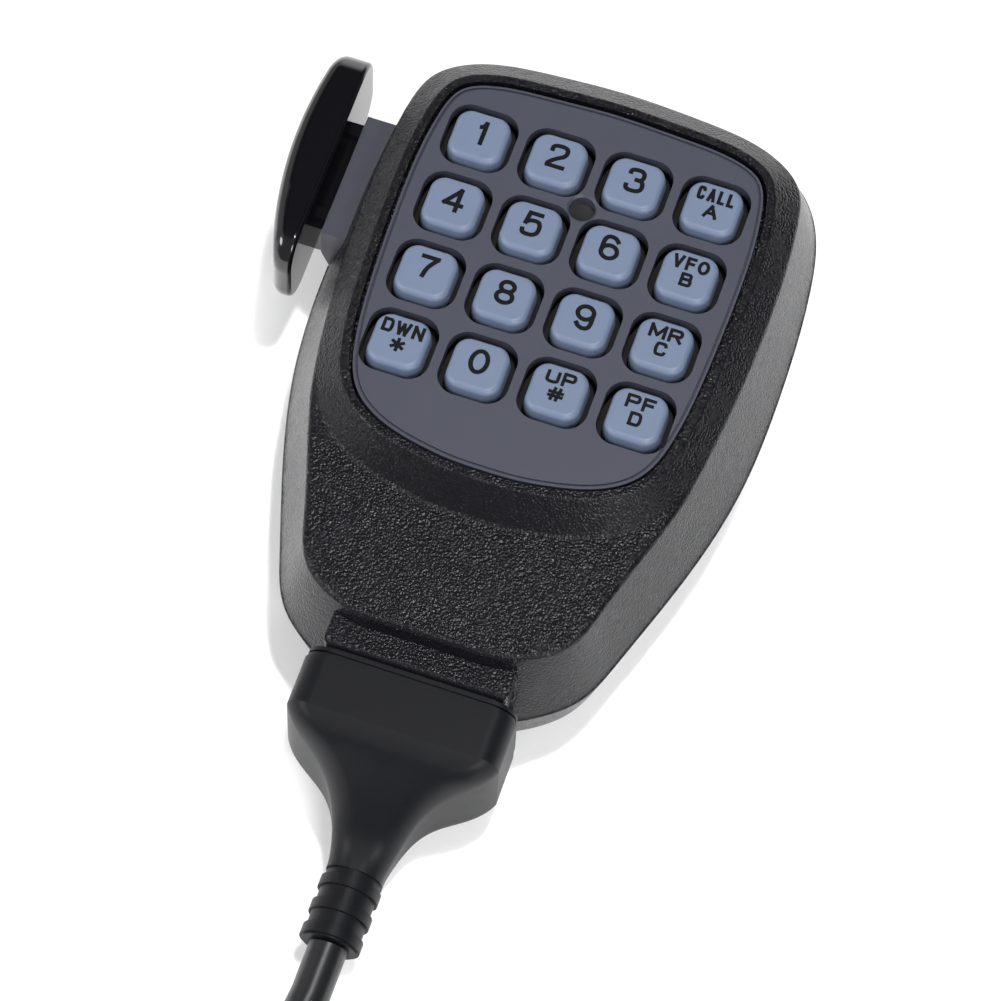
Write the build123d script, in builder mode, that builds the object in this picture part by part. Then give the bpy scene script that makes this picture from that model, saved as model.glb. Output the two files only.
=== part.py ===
# Hand microphone with a 16-key pad, a push-to-talk bar and a strain-relieved cable.
# X runs to the right as the keys are read, Y towards the top of the microphone, Z out of the keys.
# Z = 0 is the end face of the hang-up stud on the back, on which the microphone lies.
import math
import os

from build123d import *

os.makedirs("parts", exist_ok=True)

# Levels, from the back of the case to the key tops
back_z = 4.5
neck_back_z = 8.0
parting_z = 14.0
neck_front_z = 23.4
board_back_z = 23.4
board_z = 25.0
ledge_back_z = 26.0
chin_z = 27.0
shoulder_z = 28.2
recess_z = 28.4
panel_z = 30.3
rim_z = 30.6
key_z = 31.0

# Right halves of the outlines, from the top centre round to the bottom centre
parting_half = [
    (0, 37.0),
    (12.5, 36.5),
    (20.5, 35.3),
    (25.6, 32.5),
    (29.3, 27.0),
    (31.1, 19.3),
    (32.1, 2.5),
    (31.2, -15.5),
    (28.4, -28.3),
    (23.4, -43.8),
    (20.1, -50.8),
    (13.4, -55.9),
    (0, -57.0),
]
shoulder_half = [
    (0, 31.2),
    (11.5, 30.6),
    (18.4, 29.6),
    (23.0, 27.8),
    (26.4, 24.6),
    (27.8, 19.5),
    (28.5, 5.0),
    (27.5, -11.5),
    (25.0, -26.5),
    (20.2, -41.5),
    (16.9, -48.8),
    (11.5, -51.6),
    (0, -52.2),
]
panel_half = [
    (0, 26.2),
    (9.5, 25.8),
    (17.0, 25.0),
    (21.2, 23.0),
    (22.9, 18.5),
    (23.7, 6.0),
    (23.3, -6.5),
    (22.2, -17.5),
    (19.6, -24.6),
    (14.6, -28.2),
    (7.5, -30.0),
    (0, -30.5),
]

# Case
wall = 2.0
lip = 0.3
edge_round = 0.8
rim_width = 1.1
panel_gap = 0.5
ledge_width = 0.6
slope_spread_top = 6.6
slope_spread_bottom = 5.0
slope_foot_z = 25.2
rim_round = 0.4
chin_top_y = -28.0
chin_run = 34.0
chin_drop = 2.0
neck_half = 12.6
neck_end_y = -57.5

# Screws and their bosses
case_screw_top = (18.5, 27.4)
case_screw_bottom = (17.0, -41.0)
case_screw_r = 1.25
case_screw_head_r = 2.3
case_screw_head = 1.7
case_screw_tip_z = 20.5
screw_seat_z = 8.4
case_boss_r = 3.4
board_screw_top = (22.9, 21.2)
board_screw_bottom = (23.6, -14.0)
small_screw_r = 0.95
small_head_r = 1.9
small_head = 1.3
small_cross = 2.2
small_cross_width = 0.5
small_cross_depth = 0.7
small_round = 0.5
board_screw_tip_z = 27.4
board_boss_r = 1.6
case_cross = 2.6
case_cross_width = 0.6
case_cross_depth = 0.9
case_head_round = 0.7
thread_gap = 0.05
bore_gap = 0.2
head_gap = 0.3
tip_gap = 0.3
boss_step = 0.5
boss_root = 0.3
# how far from its level an edge or a face is looked for
near = 0.1

# Inside of the case
floor_z = 6.5
back_inset = 1.9
back_round = 2.6
chin_roof_z = 23.3
chin_roof_y = -31.0
neck_start_y = -50.0
neck_wall = 1.8
board_gap = 0.6
board_top_y = 24.2
board_bottom_y = -29.5

# Push-to-talk bar and its slider
bar_y = 10.4
bar_length = 34.6
bar_z = 18.0
bar_depth = 14.0
bar_inner_x = -35.4
bar_thickness = 6.2
bar_corner = 4.5
bar_crown_r = 60.0
bar_crown_shift = 3.6
bar_outer_round = 1.8
bar_inner_round = 0.6
stem_low_y = 0.0
stem_high_y = 19.3
stem_back_z = 12.0
stem_front_z = 22.0
stem_step_x = -33.4
stem_step = 1.0
ear_outer_x = -26.6
ear_inner_x = -25.2
ear_reach = 1.3
slot_gap = 0.3
peg_spread = 6.9
peg_width = 1.8
peg_height = 1.3
slot_reach = 10.0
stem_chamfer_depth = 1.6
stem_chamfer_length = 4.5
spring_spread = 6.5
spring_r = 1.9
spring_pin_r = 1.2
spring_end_gap = 0.05
spring_wire_r = 0.25
spring_pitch = 1.1
stop_x = -19.0
stop_thickness = 1.5
stop_top_z = 20.5
switch_size = 6.0
switch_face_x = -22.0
switch_tip_x = -22.9
switch_tip_r = 1.7

# Hang-up stud
stud_head_r = 6.5
stud_head = 2.2
stud_neck_r = 4.0
stud_boss_r = 4.5
stud_boss = 4.0
stud_head_round = 0.5
stud_back_round = 0.3
stud_screw_r = 1.5
stud_screw_head_r = 3.0
stud_screw_gap = 0.1
stud_screw_sink = 1.8
stud_screw_inset = 0.3
stud_screw_reach = 4.0
stud_screw_bore = 5.0
stud_screw_chamfer = 0.2
stud_cross = 3.0
stud_cross_width = 0.7
stud_cross_depth = 0.8

# Boot and cable
cable_r = 2.65
tail_r = 3.75
tail_z = 6.0
tail_start_y = -81.0
tail_overlap = 1.5
boot_end_y = -90.8
ring_r = 4.15
ring_width = 1.5
ring_first_y = -82.05
ring_pitch = 3.5
boot_half = 14.5
boot_back_z = 6.3
boot_front_z = 22.8
boot_corner = 3.0
boot_tail_corner = 3.2
flange_y = -59.1
flange_pitch = 0.8
flange_groove = 0.3
flange_inset = 0.2
groove_inset = 0.8
tongue_length = 5.5
tongue_gap = 0.2
lead_z = 10.0
lead_end_y = -41.0
sheath_low_y = -79.0
sheath_high_y = -64.0
sheath_bend_r = 25.0
clamp_y = -46.0
clamp_length = 6.0
clamp_half = 9.0
clamp_top_z = 13.8
clamp_gap = 0.1
clamp_round = 1.0
clamp_screw_x = 6.2
clamp_bore_z = 7.0
clamp_tip_z = 7.2

# Put-away cable: a coil lying below the microphone, with the plug on top of it
coil_x = 18.0
coil_y = -140.0
coil_inner_r = 19.0
coil_outer_r = 35.0
coil_layers = 3
tie_thickness = 0.8
tie_width = 12.0
tie_gap = 0.1
plug_length = 21.5
plug_width = 11.7
plug_height = 6.6
plug_x = 20.0
plug_y = -168.5
contact_pitch = 1.02
contact_slot = 0.6
contact_reach = 4.0
contact_groove = 3.0
contact_inset = 0.3
contact_side_gap = 0.1
contact_sink = 0.5
latch_width = 6.0
latch_root = 0.5
latch_bend = 4.0
latch_end = 5.0
latch_lift = 2.2
latch_thickness = 1.0
latch_bend_lift = 1.4
latch_root_lift = 0.6

# Key panel
groove_edge = 0.3
groove_width = 0.35
groove_depth = 0.4
sound_chamfer = 0.3
mat_gap = 0.2

# Board parts
contact_r = 2.6
contact_height = 0.1
contact_split = 0.4
light_window = 1.2
light_size = 0.8
light_height = 0.6
chip_x = 7.0
chip_y = -9.0
chip_length = 12.8
chip_width = 7.5
chip_height = 2.3
chip_stand = 0.2
chip_chamfer = 0.3
chip_leg_pairs = 10
chip_leg_pitch = 1.27
chip_leg_length = 1.2
chip_leg_width = 0.45
chip_leg_height = 0.9
crystal_place = (-7.0, -6.0)
crystal_length = 11.0
crystal_width = 4.6
crystal_height = 3.5
capacitor_places = [(-15.0, -14.0), (-8.5, -14.0), (16.5, 5.0)]
capacitor_r = 2.5
capacitor_height = 5.4
capacitor_round = 0.4
resistor_middle = (12.6, 16.0)
resistor_pitch = (3.2, 2.6)
resistor_length = 2.0
resistor_width = 1.25
resistor_height = 0.55
connector_y = -23.0
connector_length = 15.0
connector_width = 5.5
connector_height = 5.0
connector_wall = 0.8
connector_floor = 1.2
lead_plug_seat = 1.6
lead_plug_gap = 0.2
lead_count = 6
lead_wire_r = 0.45
lead_spread_low = 1.1
lead_spread_high = 1.9
lead_straight = 5.0
lead_climb = 1.0
lead_bend_r = 2.0
capsule_r = 4.85
capsule_height = 4.5
capsule_gap = 0.8
capsule_chamfer = 0.3
grommet_wall = 1.2
grommet_hole_r = 2.2

# Beyond every side of the case
far_reach = 60.0

# Keys, on a square grid
key_pitch = 11.0
key_base = 8.0
key_corner = 2.3
key_top = 7.4
key_bottom_z = 28.5
key_crown = 0.8
plunger_size = 6.6
plunger_corner = 1.7
plunger_end_z = 26.0
well_width = 9.7
well_height = 9.6
well_corner = 2.9
collar_size = 9.2
collar_corner = 2.8
collar_hole = 7.3
collar_top_z = 27.6
sound_hole_y = key_pitch
sound_hole_r = 1.8
chimney_r = 2.1
chimney_bore_r = 1.3


def blend(low, high, share):
    # half outline at a share of the way from the low one to the high one
    return [(a[0] + (b[0] - a[0]) * share, a[1] + (b[1] - a[1]) * share) for a, b in zip(low, high)]


def grow(half, at_top, at_bottom=None):
    # half outline moved outward along its normals, by at_top at its top and at_bottom at its bottom
    at_bottom = at_top if at_bottom is None else at_bottom
    top_y, bottom_y = half[0][1], half[-1][1]
    moved = [(0, top_y + at_top)]
    for before, here, after in zip(half, half[1:], half[2:]):
        run_x, run_y = after[0] - before[0], after[1] - before[1]
        run = math.hypot(run_x, run_y)
        by = at_bottom + (at_top - at_bottom) * (here[1] - bottom_y) / (top_y - bottom_y)
        moved.append((here[0] - run_y / run * by, here[1] + run_x / run * by))
    moved.append((0, bottom_y - at_bottom))
    return moved


def round_face(half):
    # face within a half outline and its mirror image, smooth all the way round
    with BuildSketch() as face:
        with BuildLine():
            Spline(half, tangents=((1, 0), (-1, 0)))
            mirror(about=Plane.YZ)
        make_face()
    return face.sketch


def case_half(z):
    # the drafted outline of the front case at level z
    return blend(parting_half, shoulder_half, (z - parting_z) / (shoulder_z - parting_z))


# The front face: a raised platform round the keys, with sloping flanks, above a flat chin
rim_half = grow(panel_half, panel_gap + rim_width)
slope_half = grow(rim_half, slope_spread_top, slope_spread_bottom)
with BuildPart() as front_form:
    with BuildSketch(Plane.XY.offset(slope_foot_z)):
        add(round_face(slope_half))
    with BuildSketch(Plane.XY.offset(rim_z)):
        add(round_face(rim_half))
    loft()
    with BuildSketch(Plane.YZ):
        with BuildLine():
            Polyline(
                (far_reach, parting_z - 1),
                (far_reach, chin_z),
                (chin_top_y, chin_z),
                (chin_top_y - chin_run, chin_z - chin_drop),
                (chin_top_y - chin_run, parting_z - 1),
                close=True,
            )
        make_face()
    extrude(amount=far_reach, both=True)


with BuildPart() as cavity:
    with BuildSketch(Plane.XY.offset(parting_z)):
        add(round_face(grow(parting_half, -wall)))
    with BuildSketch(Plane.XY.offset(ledge_back_z)):
        add(round_face(grow(case_half(ledge_back_z), -wall)))
    loft()
    with BuildSketch(Plane.XY.offset(chin_roof_z)):
        with Locations((0, chin_roof_y)):
            Rectangle(2 * far_reach, far_reach, align=(Align.CENTER, Align.MAX))
    extrude(amount=far_reach, mode=Mode.SUBTRACT)

case_screw_places = [
    (side * x, y) for side in (1, -1) for x, y in (case_screw_top, case_screw_bottom)
]
board_screw_places = [
    (side * x, y) for side in (1, -1) for x, y in (board_screw_top, board_screw_bottom)
]
neck_length = neck_start_y - neck_end_y
neck_middle_y = (neck_start_y + neck_end_y) / 2
stem_length = stem_high_y - stem_low_y
stem_y = (stem_high_y + stem_low_y) / 2
stem_z = (stem_front_z + stem_back_z) / 2
stem_depth = stem_front_z - stem_back_z
slot_plane = Plane(origin=(ear_outer_x, stem_y, stem_z), x_dir=(0, 1, 0), z_dir=(-1, 0, 0))

with BuildPart() as front_case:
    with BuildSketch(Plane.XY.offset(parting_z)):
        add(round_face(parting_half))
    with BuildSketch(Plane.XY.offset(rim_z + wall)):
        add(round_face(case_half(rim_z + wall)))
    loft()
    add(front_form.part, mode=Mode.INTERSECT)
    fillet(
        front_case.edges().filter_by_position(Axis.Z, chin_z - chin_drop, shoulder_z),
        radius=edge_round,
    )
    fillet(front_case.faces().sort_by(Axis.Z)[-1].edges(), radius=rim_round)
    # neck that the boot plugs into
    with BuildSketch(Plane.XY.offset(parting_z)):
        with Locations((0, neck_middle_y)):
            Rectangle(2 * neck_half, neck_length)
    extrude(amount=neck_front_z - parting_z)
    neck_faces = front_case.faces().filter_by_position(Axis.Y, neck_end_y - near, neck_end_y + near)
    fillet(neck_faces.edges().filter_by_position(Axis.Z, parting_z + 1, neck_front_z + 1), radius=edge_round)
    add(cavity.part, mode=Mode.SUBTRACT)
    with BuildSketch(Plane.XY.offset(parting_z)):
        with Locations((0, neck_middle_y)):
            Rectangle(2 * (neck_half - neck_wall), neck_length)
    extrude(amount=neck_front_z - neck_wall - parting_z, mode=Mode.SUBTRACT)
    # bosses for the case screws, then those that hold the board
    with BuildSketch(Plane.XY.offset(parting_z)):
        with Locations(*case_screw_places):
            Circle(case_boss_r - boss_step)
    extrude(amount=chin_roof_z + boss_root - parting_z)
    with BuildSketch(Plane.XY.offset(parting_z)):
        with Locations(*case_screw_places):
            Circle(case_screw_r + thread_gap)
    extrude(amount=case_screw_tip_z + tip_gap - parting_z, mode=Mode.SUBTRACT)
    # seat of the key panel and the window behind it
    with BuildSketch(Plane.XY.offset(recess_z)):
        add(round_face(grow(panel_half, panel_gap)))
    extrude(amount=rim_z - recess_z + 1, mode=Mode.SUBTRACT)
    with BuildSketch(Plane.XY.offset(ledge_back_z - 1)):
        add(round_face(grow(panel_half, -ledge_width)))
    extrude(amount=recess_z - ledge_back_z + 2, mode=Mode.SUBTRACT)
    with BuildSketch(Plane.XY.offset(board_z)):
        with Locations(*board_screw_places):
            Circle(board_boss_r)
    extrude(amount=ledge_back_z - board_z + boss_root)
    with BuildSketch(Plane.XY.offset(board_z)):
        with Locations(*board_screw_places):
            Circle(small_screw_r + thread_gap)
    extrude(amount=board_screw_tip_z + tip_gap - board_z, mode=Mode.SUBTRACT)
    # slot for the push-to-talk slider
    with BuildSketch(slot_plane):
        Rectangle(stem_length + 2 * slot_gap, stem_depth + 2 * slot_gap)
    extrude(amount=slot_reach, mode=Mode.SUBTRACT)
front_case.part.label = "front_case"
export_step(front_case.part, "parts/front_case.step")

with BuildPart() as rear_case:
    with BuildSketch(Plane.XY.offset(parting_z)):
        add(round_face(grow(parting_half, lip)))
    with BuildSketch(Plane.XY.offset(back_z)):
        add(round_face(grow(parting_half, -back_inset)))
    loft()
    fillet(rear_case.faces().sort_by(Axis.Z)[0].edges(), radius=back_round)
    chamfer(rear_case.faces().sort_by(Axis.Z)[-1].edges(), length=lip)
    with BuildSketch(Plane.XY.offset(neck_back_z)):
        with Locations((0, neck_middle_y)):
            Rectangle(2 * neck_half, neck_length)
    extrude(amount=parting_z - neck_back_z)
    neck_faces = rear_case.faces().filter_by_position(Axis.Y, neck_end_y - near, neck_end_y + near)
    fillet(neck_faces.edges().filter_by_position(Axis.Z, neck_back_z - 1, parting_z - 1), radius=edge_round)
    # hollow
    with BuildSketch(Plane.XY.offset(floor_z)):
        add(round_face(grow(parting_half, -wall - back_inset)))
    with BuildSketch(Plane.XY.offset(parting_z)):
        add(round_face(grow(parting_half, -wall)))
    loft(mode=Mode.SUBTRACT)
    with BuildSketch(Plane.XY.offset(neck_back_z + neck_wall)):
        with Locations((0, neck_middle_y)):
            Rectangle(2 * (neck_half - neck_wall), neck_length)
    extrude(amount=parting_z - neck_back_z, mode=Mode.SUBTRACT)
    # bosses for the case screws and the stud's screw
    with BuildSketch(Plane.XY.offset(floor_z)):
        with Locations(*case_screw_places):
            Circle(case_boss_r)
    extrude(amount=parting_z - floor_z)
    with BuildSketch(Plane.XY.offset(floor_z)):
        Circle(stud_boss_r)
    extrude(amount=stud_boss)
    with BuildSketch(Plane.XY.offset(back_z)):
        Circle(stud_screw_r + thread_gap)
    extrude(amount=stud_screw_bore, mode=Mode.SUBTRACT)
    with BuildSketch(Plane.XY.offset(back_z)):
        with Locations(*case_screw_places):
            Circle(case_screw_r + bore_gap)
    extrude(amount=parting_z - back_z, mode=Mode.SUBTRACT)
    with BuildSketch(Plane.XY.offset(back_z)):
        with Locations(*case_screw_places):
            Circle(case_screw_head_r + head_gap)
    extrude(amount=screw_seat_z - back_z, mode=Mode.SUBTRACT)
    # stop that the springs push against, with a locating pin in each spring
    with BuildSketch(Plane.XY.offset(floor_z)):
        with Locations((stop_x, stem_y)):
            Rectangle(stop_thickness, stem_length + 2 * ear_reach, align=(Align.MIN, Align.CENTER))
    extrude(amount=stop_top_z - floor_z)
    spring_plane = Plane(origin=(stop_x, stem_y, stem_z), x_dir=(0, 1, 0), z_dir=(-1, 0, 0))
    with BuildSketch(spring_plane):
        with Locations((-spring_spread, 0), (spring_spread, 0)):
            Circle(spring_pin_r)
    extrude(amount=stop_thickness)
    # slot for the push-to-talk slider
    with BuildSketch(slot_plane):
        Rectangle(stem_length + 2 * slot_gap, stem_depth + 2 * slot_gap)
    extrude(amount=slot_reach, mode=Mode.SUBTRACT)
    # cradle under the cable clamp
    with BuildSketch(Plane.XY.offset(floor_z)):
        with Locations((0, clamp_y)):
            Rectangle(2 * clamp_half, clamp_length)
    extrude(amount=lead_z - floor_z)
    with BuildSketch(Plane.XY.offset(clamp_bore_z)):
        with Locations((-clamp_screw_x, clamp_y), (clamp_screw_x, clamp_y)):
            Circle(small_screw_r + thread_gap)
    extrude(amount=lead_z - floor_z, mode=Mode.SUBTRACT)
    with BuildSketch(Plane(origin=(0, neck_end_y, lead_z), z_dir=(0, 1, 0))):
        Circle(cable_r)
    extrude(amount=lead_end_y - neck_end_y, mode=Mode.SUBTRACT)
rear_case.part.label = "rear_case"
export_step(rear_case.part, "parts/rear_case.step")

# Key panel: a plate with a groove just inside its edge, 16 wells and a countersunk sound hole
with BuildPart() as keypad_panel:
    with BuildSketch(Plane.XY.offset(recess_z)):
        add(round_face(panel_half))
        with GridLocations(key_pitch, key_pitch, 4, 4):
            RectangleRounded(well_width, well_height, well_corner, mode=Mode.SUBTRACT)
        with Locations((0, sound_hole_y)):
            Circle(sound_hole_r, mode=Mode.SUBTRACT)
    extrude(amount=panel_z - recess_z)
    with BuildSketch(Plane.XY.offset(panel_z)):
        add(round_face(grow(panel_half, -groove_edge)))
        add(round_face(grow(panel_half, -groove_edge - groove_width)), mode=Mode.SUBTRACT)
    extrude(amount=-groove_depth, mode=Mode.SUBTRACT)
    round_edges = keypad_panel.edges().filter_by(GeomType.CIRCLE)
    sound_edge = round_edges.filter_by_position(Axis.Z, panel_z - near, panel_z + near)
    chamfer(sound_edge.sort_by(SortBy.RADIUS)[0], length=sound_chamfer)
keypad_panel.part.label = "keypad_panel"
export_step(keypad_panel.part, "parts/keypad_panel.step")

# Mat: a sheet under the ledge with a collar round each key and a chimney under the sound hole
light_places = [(x, y) for x in (-key_pitch, key_pitch) for y in (-key_pitch, 0, key_pitch)]
with BuildPart() as keypad_mat:
    with BuildSketch(Plane.XY.offset(board_z)):
        add(round_face(grow(panel_half, -mat_gap)))
    extrude(amount=ledge_back_z - board_z)
    with BuildSketch(Plane.XY.offset(board_z)):
        with GridLocations(key_pitch, key_pitch, 4, 4):
            RectangleRounded(collar_size, collar_size, collar_corner)
        with Locations((0, sound_hole_y)):
            Circle(chimney_r)
    extrude(amount=collar_top_z - board_z)
    with BuildSketch(Plane.XY.offset(board_z)):
        with GridLocations(key_pitch, key_pitch, 4, 4):
            RectangleRounded(collar_hole, collar_hole, key_corner)
        with Locations((0, sound_hole_y)):
            Circle(chimney_bore_r)
        with Locations(*board_screw_places):
            Circle(board_boss_r + bore_gap)
        with Locations(*light_places):
            Rectangle(light_window, light_window)
    extrude(amount=collar_top_z - board_z, mode=Mode.SUBTRACT)
keypad_mat.part.label = "keypad_mat"
export_step(keypad_mat.part, "parts/keypad_mat.step")

# Keys: a drafted cap with a rounded crown on a square plunger, each in its own node
key_rows = [
    ("key_1", "key_2", "key_3", "key_a"),
    ("key_4", "key_5", "key_6", "key_b"),
    ("key_7", "key_8", "key_9", "key_c"),
    ("key_star", "key_0", "key_hash", "key_d"),
]
for row, names in enumerate(key_rows):
    for column, key_name in enumerate(names):
        key_x = (column - 1.5) * key_pitch
        key_y = (1.5 - row) * key_pitch
        with BuildPart() as key:
            with BuildSketch(Plane((key_x, key_y, key_bottom_z))):
                RectangleRounded(key_base, key_base, key_corner)
            with BuildSketch(Plane((key_x, key_y, key_z))):
                RectangleRounded(key_top, key_top, key_corner - (key_base - key_top) / 2)
            loft()
            fillet(key.faces().sort_by(Axis.Z)[-1].edges(), radius=key_crown)
            with BuildSketch(Plane((key_x, key_y, plunger_end_z))):
                RectangleRounded(plunger_size, plunger_size, plunger_corner)
            extrude(amount=key_bottom_z - plunger_end_z)
        key.part.label = key_name
        export_step(key.part, f"parts/{key_name}.step")

# Sound mesh over the chimney, just behind the panel
with BuildPart() as mic_mesh:
    with BuildSketch(Plane.XY.offset(collar_top_z)):
        with Locations((0, sound_hole_y)):
            Circle(chimney_r)
    extrude(amount=recess_z - collar_top_z)
mic_mesh.part.label = "mic_mesh"
export_step(mic_mesh.part, "parts/mic_mesh.step")

# Board and what is soldered to it
with BuildPart() as circuit_board:
    with BuildSketch(Plane.XY.offset(board_back_z)):
        add(round_face(grow(case_half(board_z), -wall - board_gap)))
        with Locations((0, (board_top_y + board_bottom_y) / 2)):
            Rectangle(2 * far_reach, board_top_y - board_bottom_y, mode=Mode.INTERSECT)
        with Locations(*board_screw_places):
            Circle(small_screw_r + bore_gap, mode=Mode.SUBTRACT)
        with Locations((0, sound_hole_y)):
            Circle(sound_hole_r, mode=Mode.SUBTRACT)
    extrude(amount=board_z - board_back_z)
circuit_board.part.label = "circuit_board"
export_step(circuit_board.part, "parts/circuit_board.step")

with BuildPart() as key_contacts:
    with BuildSketch(Plane.XY.offset(board_z)):
        with GridLocations(key_pitch, key_pitch, 4, 4):
            Circle(contact_r)
            Rectangle(contact_split, 2 * contact_r, mode=Mode.SUBTRACT)
    extrude(amount=contact_height)
key_contacts.part.label = "key_contacts"
export_step(key_contacts.part, "parts/key_contacts.step")

with BuildPart() as backlight_leds:
    with BuildSketch(Plane.XY.offset(board_z)):
        with Locations(*light_places):
            Rectangle(light_size, light_size)
    extrude(amount=light_height)
backlight_leds.part.label = "backlight_leds"
export_step(backlight_leds.part, "parts/backlight_leds.step")

with BuildPart() as tone_chip:
    with BuildSketch(Plane.XY.offset(board_back_z - chip_stand)):
        with Locations((chip_x, chip_y)):
            Rectangle(chip_length, chip_width)
    extrude(amount=-chip_height)
    chamfer(tone_chip.faces().sort_by(Axis.Z)[0].edges(), length=chip_chamfer)
tone_chip.part.label = "tone_chip"
export_step(tone_chip.part, "parts/tone_chip.step")

with BuildPart() as chip_legs:
    with BuildSketch(Plane.XY.offset(board_back_z)):
        with Locations((chip_x, chip_y)):
            with GridLocations(chip_leg_pitch, chip_width + chip_leg_length, chip_leg_pairs, 2):
                Rectangle(chip_leg_width, chip_leg_length)
    extrude(amount=-chip_leg_height)
chip_legs.part.label = "chip_legs"
export_step(chip_legs.part, "parts/chip_legs.step")

with BuildPart() as crystal:
    with BuildSketch(Plane.XY.offset(board_back_z)):
        with Locations(crystal_place):
            SlotOverall(crystal_length, crystal_width)
    extrude(amount=-crystal_height)
    fillet(crystal.faces().sort_by(Axis.Z)[0].edges(), radius=small_round)
crystal.part.label = "crystal"
export_step(crystal.part, "parts/crystal.step")

with BuildPart() as capacitors:
    with BuildSketch(Plane.XY.offset(board_back_z)):
        with Locations(*capacitor_places):
            Circle(capacitor_r)
    extrude(amount=-capacitor_height)
    fillet(capacitors.faces().filter_by(Axis.Z).group_by(Axis.Z)[0].edges(), radius=capacitor_round)
capacitors.part.label = "capacitors"
export_step(capacitors.part, "parts/capacitors.step")

with BuildPart() as resistors:
    with BuildSketch(Plane.XY.offset(board_back_z)):
        with Locations(resistor_middle):
            with GridLocations(*resistor_pitch, 4, 3):
                Rectangle(resistor_length, resistor_width)
    extrude(amount=-resistor_height)
resistors.part.label = "resistors"
export_step(resistors.part, "parts/resistors.step")

with BuildPart() as board_connector:
    with BuildSketch(Plane.XY.offset(board_back_z)):
        with Locations((0, connector_y)):
            Rectangle(connector_length, connector_width)
    extrude(amount=-connector_height)
    with BuildSketch(Plane.XY.offset(board_back_z - connector_floor)):
        with Locations((0, connector_y)):
            Rectangle(connector_length - 2 * connector_wall, connector_width - 2 * connector_wall)
    extrude(amount=-connector_height, mode=Mode.SUBTRACT)
board_connector.part.label = "board_connector"
export_step(board_connector.part, "parts/board_connector.step")

lead_plug_inset = 2 * (connector_wall + lead_plug_gap)
with BuildPart() as lead_plug:
    with BuildSketch(Plane.XY.offset(board_back_z - lead_plug_seat)):
        with Locations((0, connector_y)):
            Rectangle(connector_length - lead_plug_inset, connector_width - lead_plug_inset)
    extrude(amount=-connector_height)
lead_plug.part.label = "lead_plug"
export_step(lead_plug.part, "parts/lead_plug.step")

# Pan-head screws from behind the board into the front case
with BuildPart() as board_screws:
    with BuildSketch(Plane.XY.offset(board_back_z)):
        with Locations(*board_screw_places):
            Circle(small_head_r)
    extrude(amount=-small_head)
    fillet(board_screws.faces().filter_by(Axis.Z).group_by(Axis.Z)[0].edges(), radius=small_round)
    with BuildSketch(Plane.XY.offset(board_back_z - small_head)):
        with Locations(*board_screw_places):
            Rectangle(small_cross, small_cross_width)
            Rectangle(small_cross_width, small_cross)
    extrude(amount=small_cross_depth, mode=Mode.SUBTRACT)
    with BuildSketch(Plane.XY.offset(board_back_z)):
        with Locations(*board_screw_places):
            Circle(small_screw_r)
    extrude(amount=board_screw_tip_z - board_back_z)
board_screws.part.label = "board_screws"
export_step(board_screws.part, "parts/board_screws.step")

# Microphone capsule in its rubber cup, behind the sound hole of the board
with BuildPart() as mic_capsule:
    with BuildSketch(Plane.XY.offset(board_back_z - capsule_gap)):
        with Locations((0, sound_hole_y)):
            Circle(capsule_r)
    extrude(amount=-capsule_height)
    chamfer(mic_capsule.edges(), length=capsule_chamfer)
mic_capsule.part.label = "mic_capsule"
export_step(mic_capsule.part, "parts/mic_capsule.step")

with BuildPart() as mic_grommet:
    with BuildSketch(Plane.XY.offset(board_back_z)):
        with Locations((0, sound_hole_y)):
            Circle(capsule_r + grommet_wall)
            Circle(grommet_hole_r, mode=Mode.SUBTRACT)
    extrude(amount=-capsule_height)
    with BuildSketch(Plane.XY.offset(board_back_z - capsule_gap)):
        with Locations((0, sound_hole_y)):
            Circle(capsule_r)
    extrude(amount=-capsule_height, mode=Mode.SUBTRACT)
mic_grommet.part.label = "mic_grommet"
export_step(mic_grommet.part, "parts/mic_grommet.step")

# Push-to-talk bar: rounded in side view, crowned along its length, with a neck and two snap pegs inside
bar_plane = Plane(origin=(bar_inner_x, bar_y, bar_z), x_dir=(0, 1, 0), z_dir=(-1, 0, 0))
neck_plane = Plane(origin=(bar_inner_x, stem_y, stem_z), x_dir=(0, 1, 0), z_dir=(1, 0, 0))
bar_outer_x = bar_inner_x - bar_thickness
with BuildPart() as ptt_paddle:
    with BuildSketch(bar_plane):
        RectangleRounded(bar_length, bar_depth, bar_corner)
    extrude(amount=bar_thickness)
    with BuildSketch(Plane.XY):
        with Locations((bar_outer_x + bar_crown_r, bar_y + bar_crown_shift)):
            Circle(bar_crown_r)
    extrude(amount=far_reach, mode=Mode.INTERSECT)
    outer_edges = ptt_paddle.edges().filter_by_position(Axis.X, bar_outer_x - 1, bar_inner_x - 1)
    fillet(outer_edges, radius=bar_outer_round)
    fillet(ptt_paddle.faces().sort_by(Axis.X)[-1].edges(), radius=bar_inner_round)
    with BuildSketch(neck_plane):
        with Locations((0, stem_step)):
            Rectangle(stem_length - 2 * stem_step, stem_depth - 4 * stem_step)
        with Locations((-peg_spread, stem_depth / 2 - stem_step), (peg_spread, stem_depth / 2 - stem_step)):
            Rectangle(peg_width, peg_height, align=(Align.CENTER, Align.MIN))
    extrude(amount=stem_step_x - bar_inner_x)
ptt_paddle.part.label = "ptt_paddle"
export_step(ptt_paddle.part, "parts/ptt_paddle.step")

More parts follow.
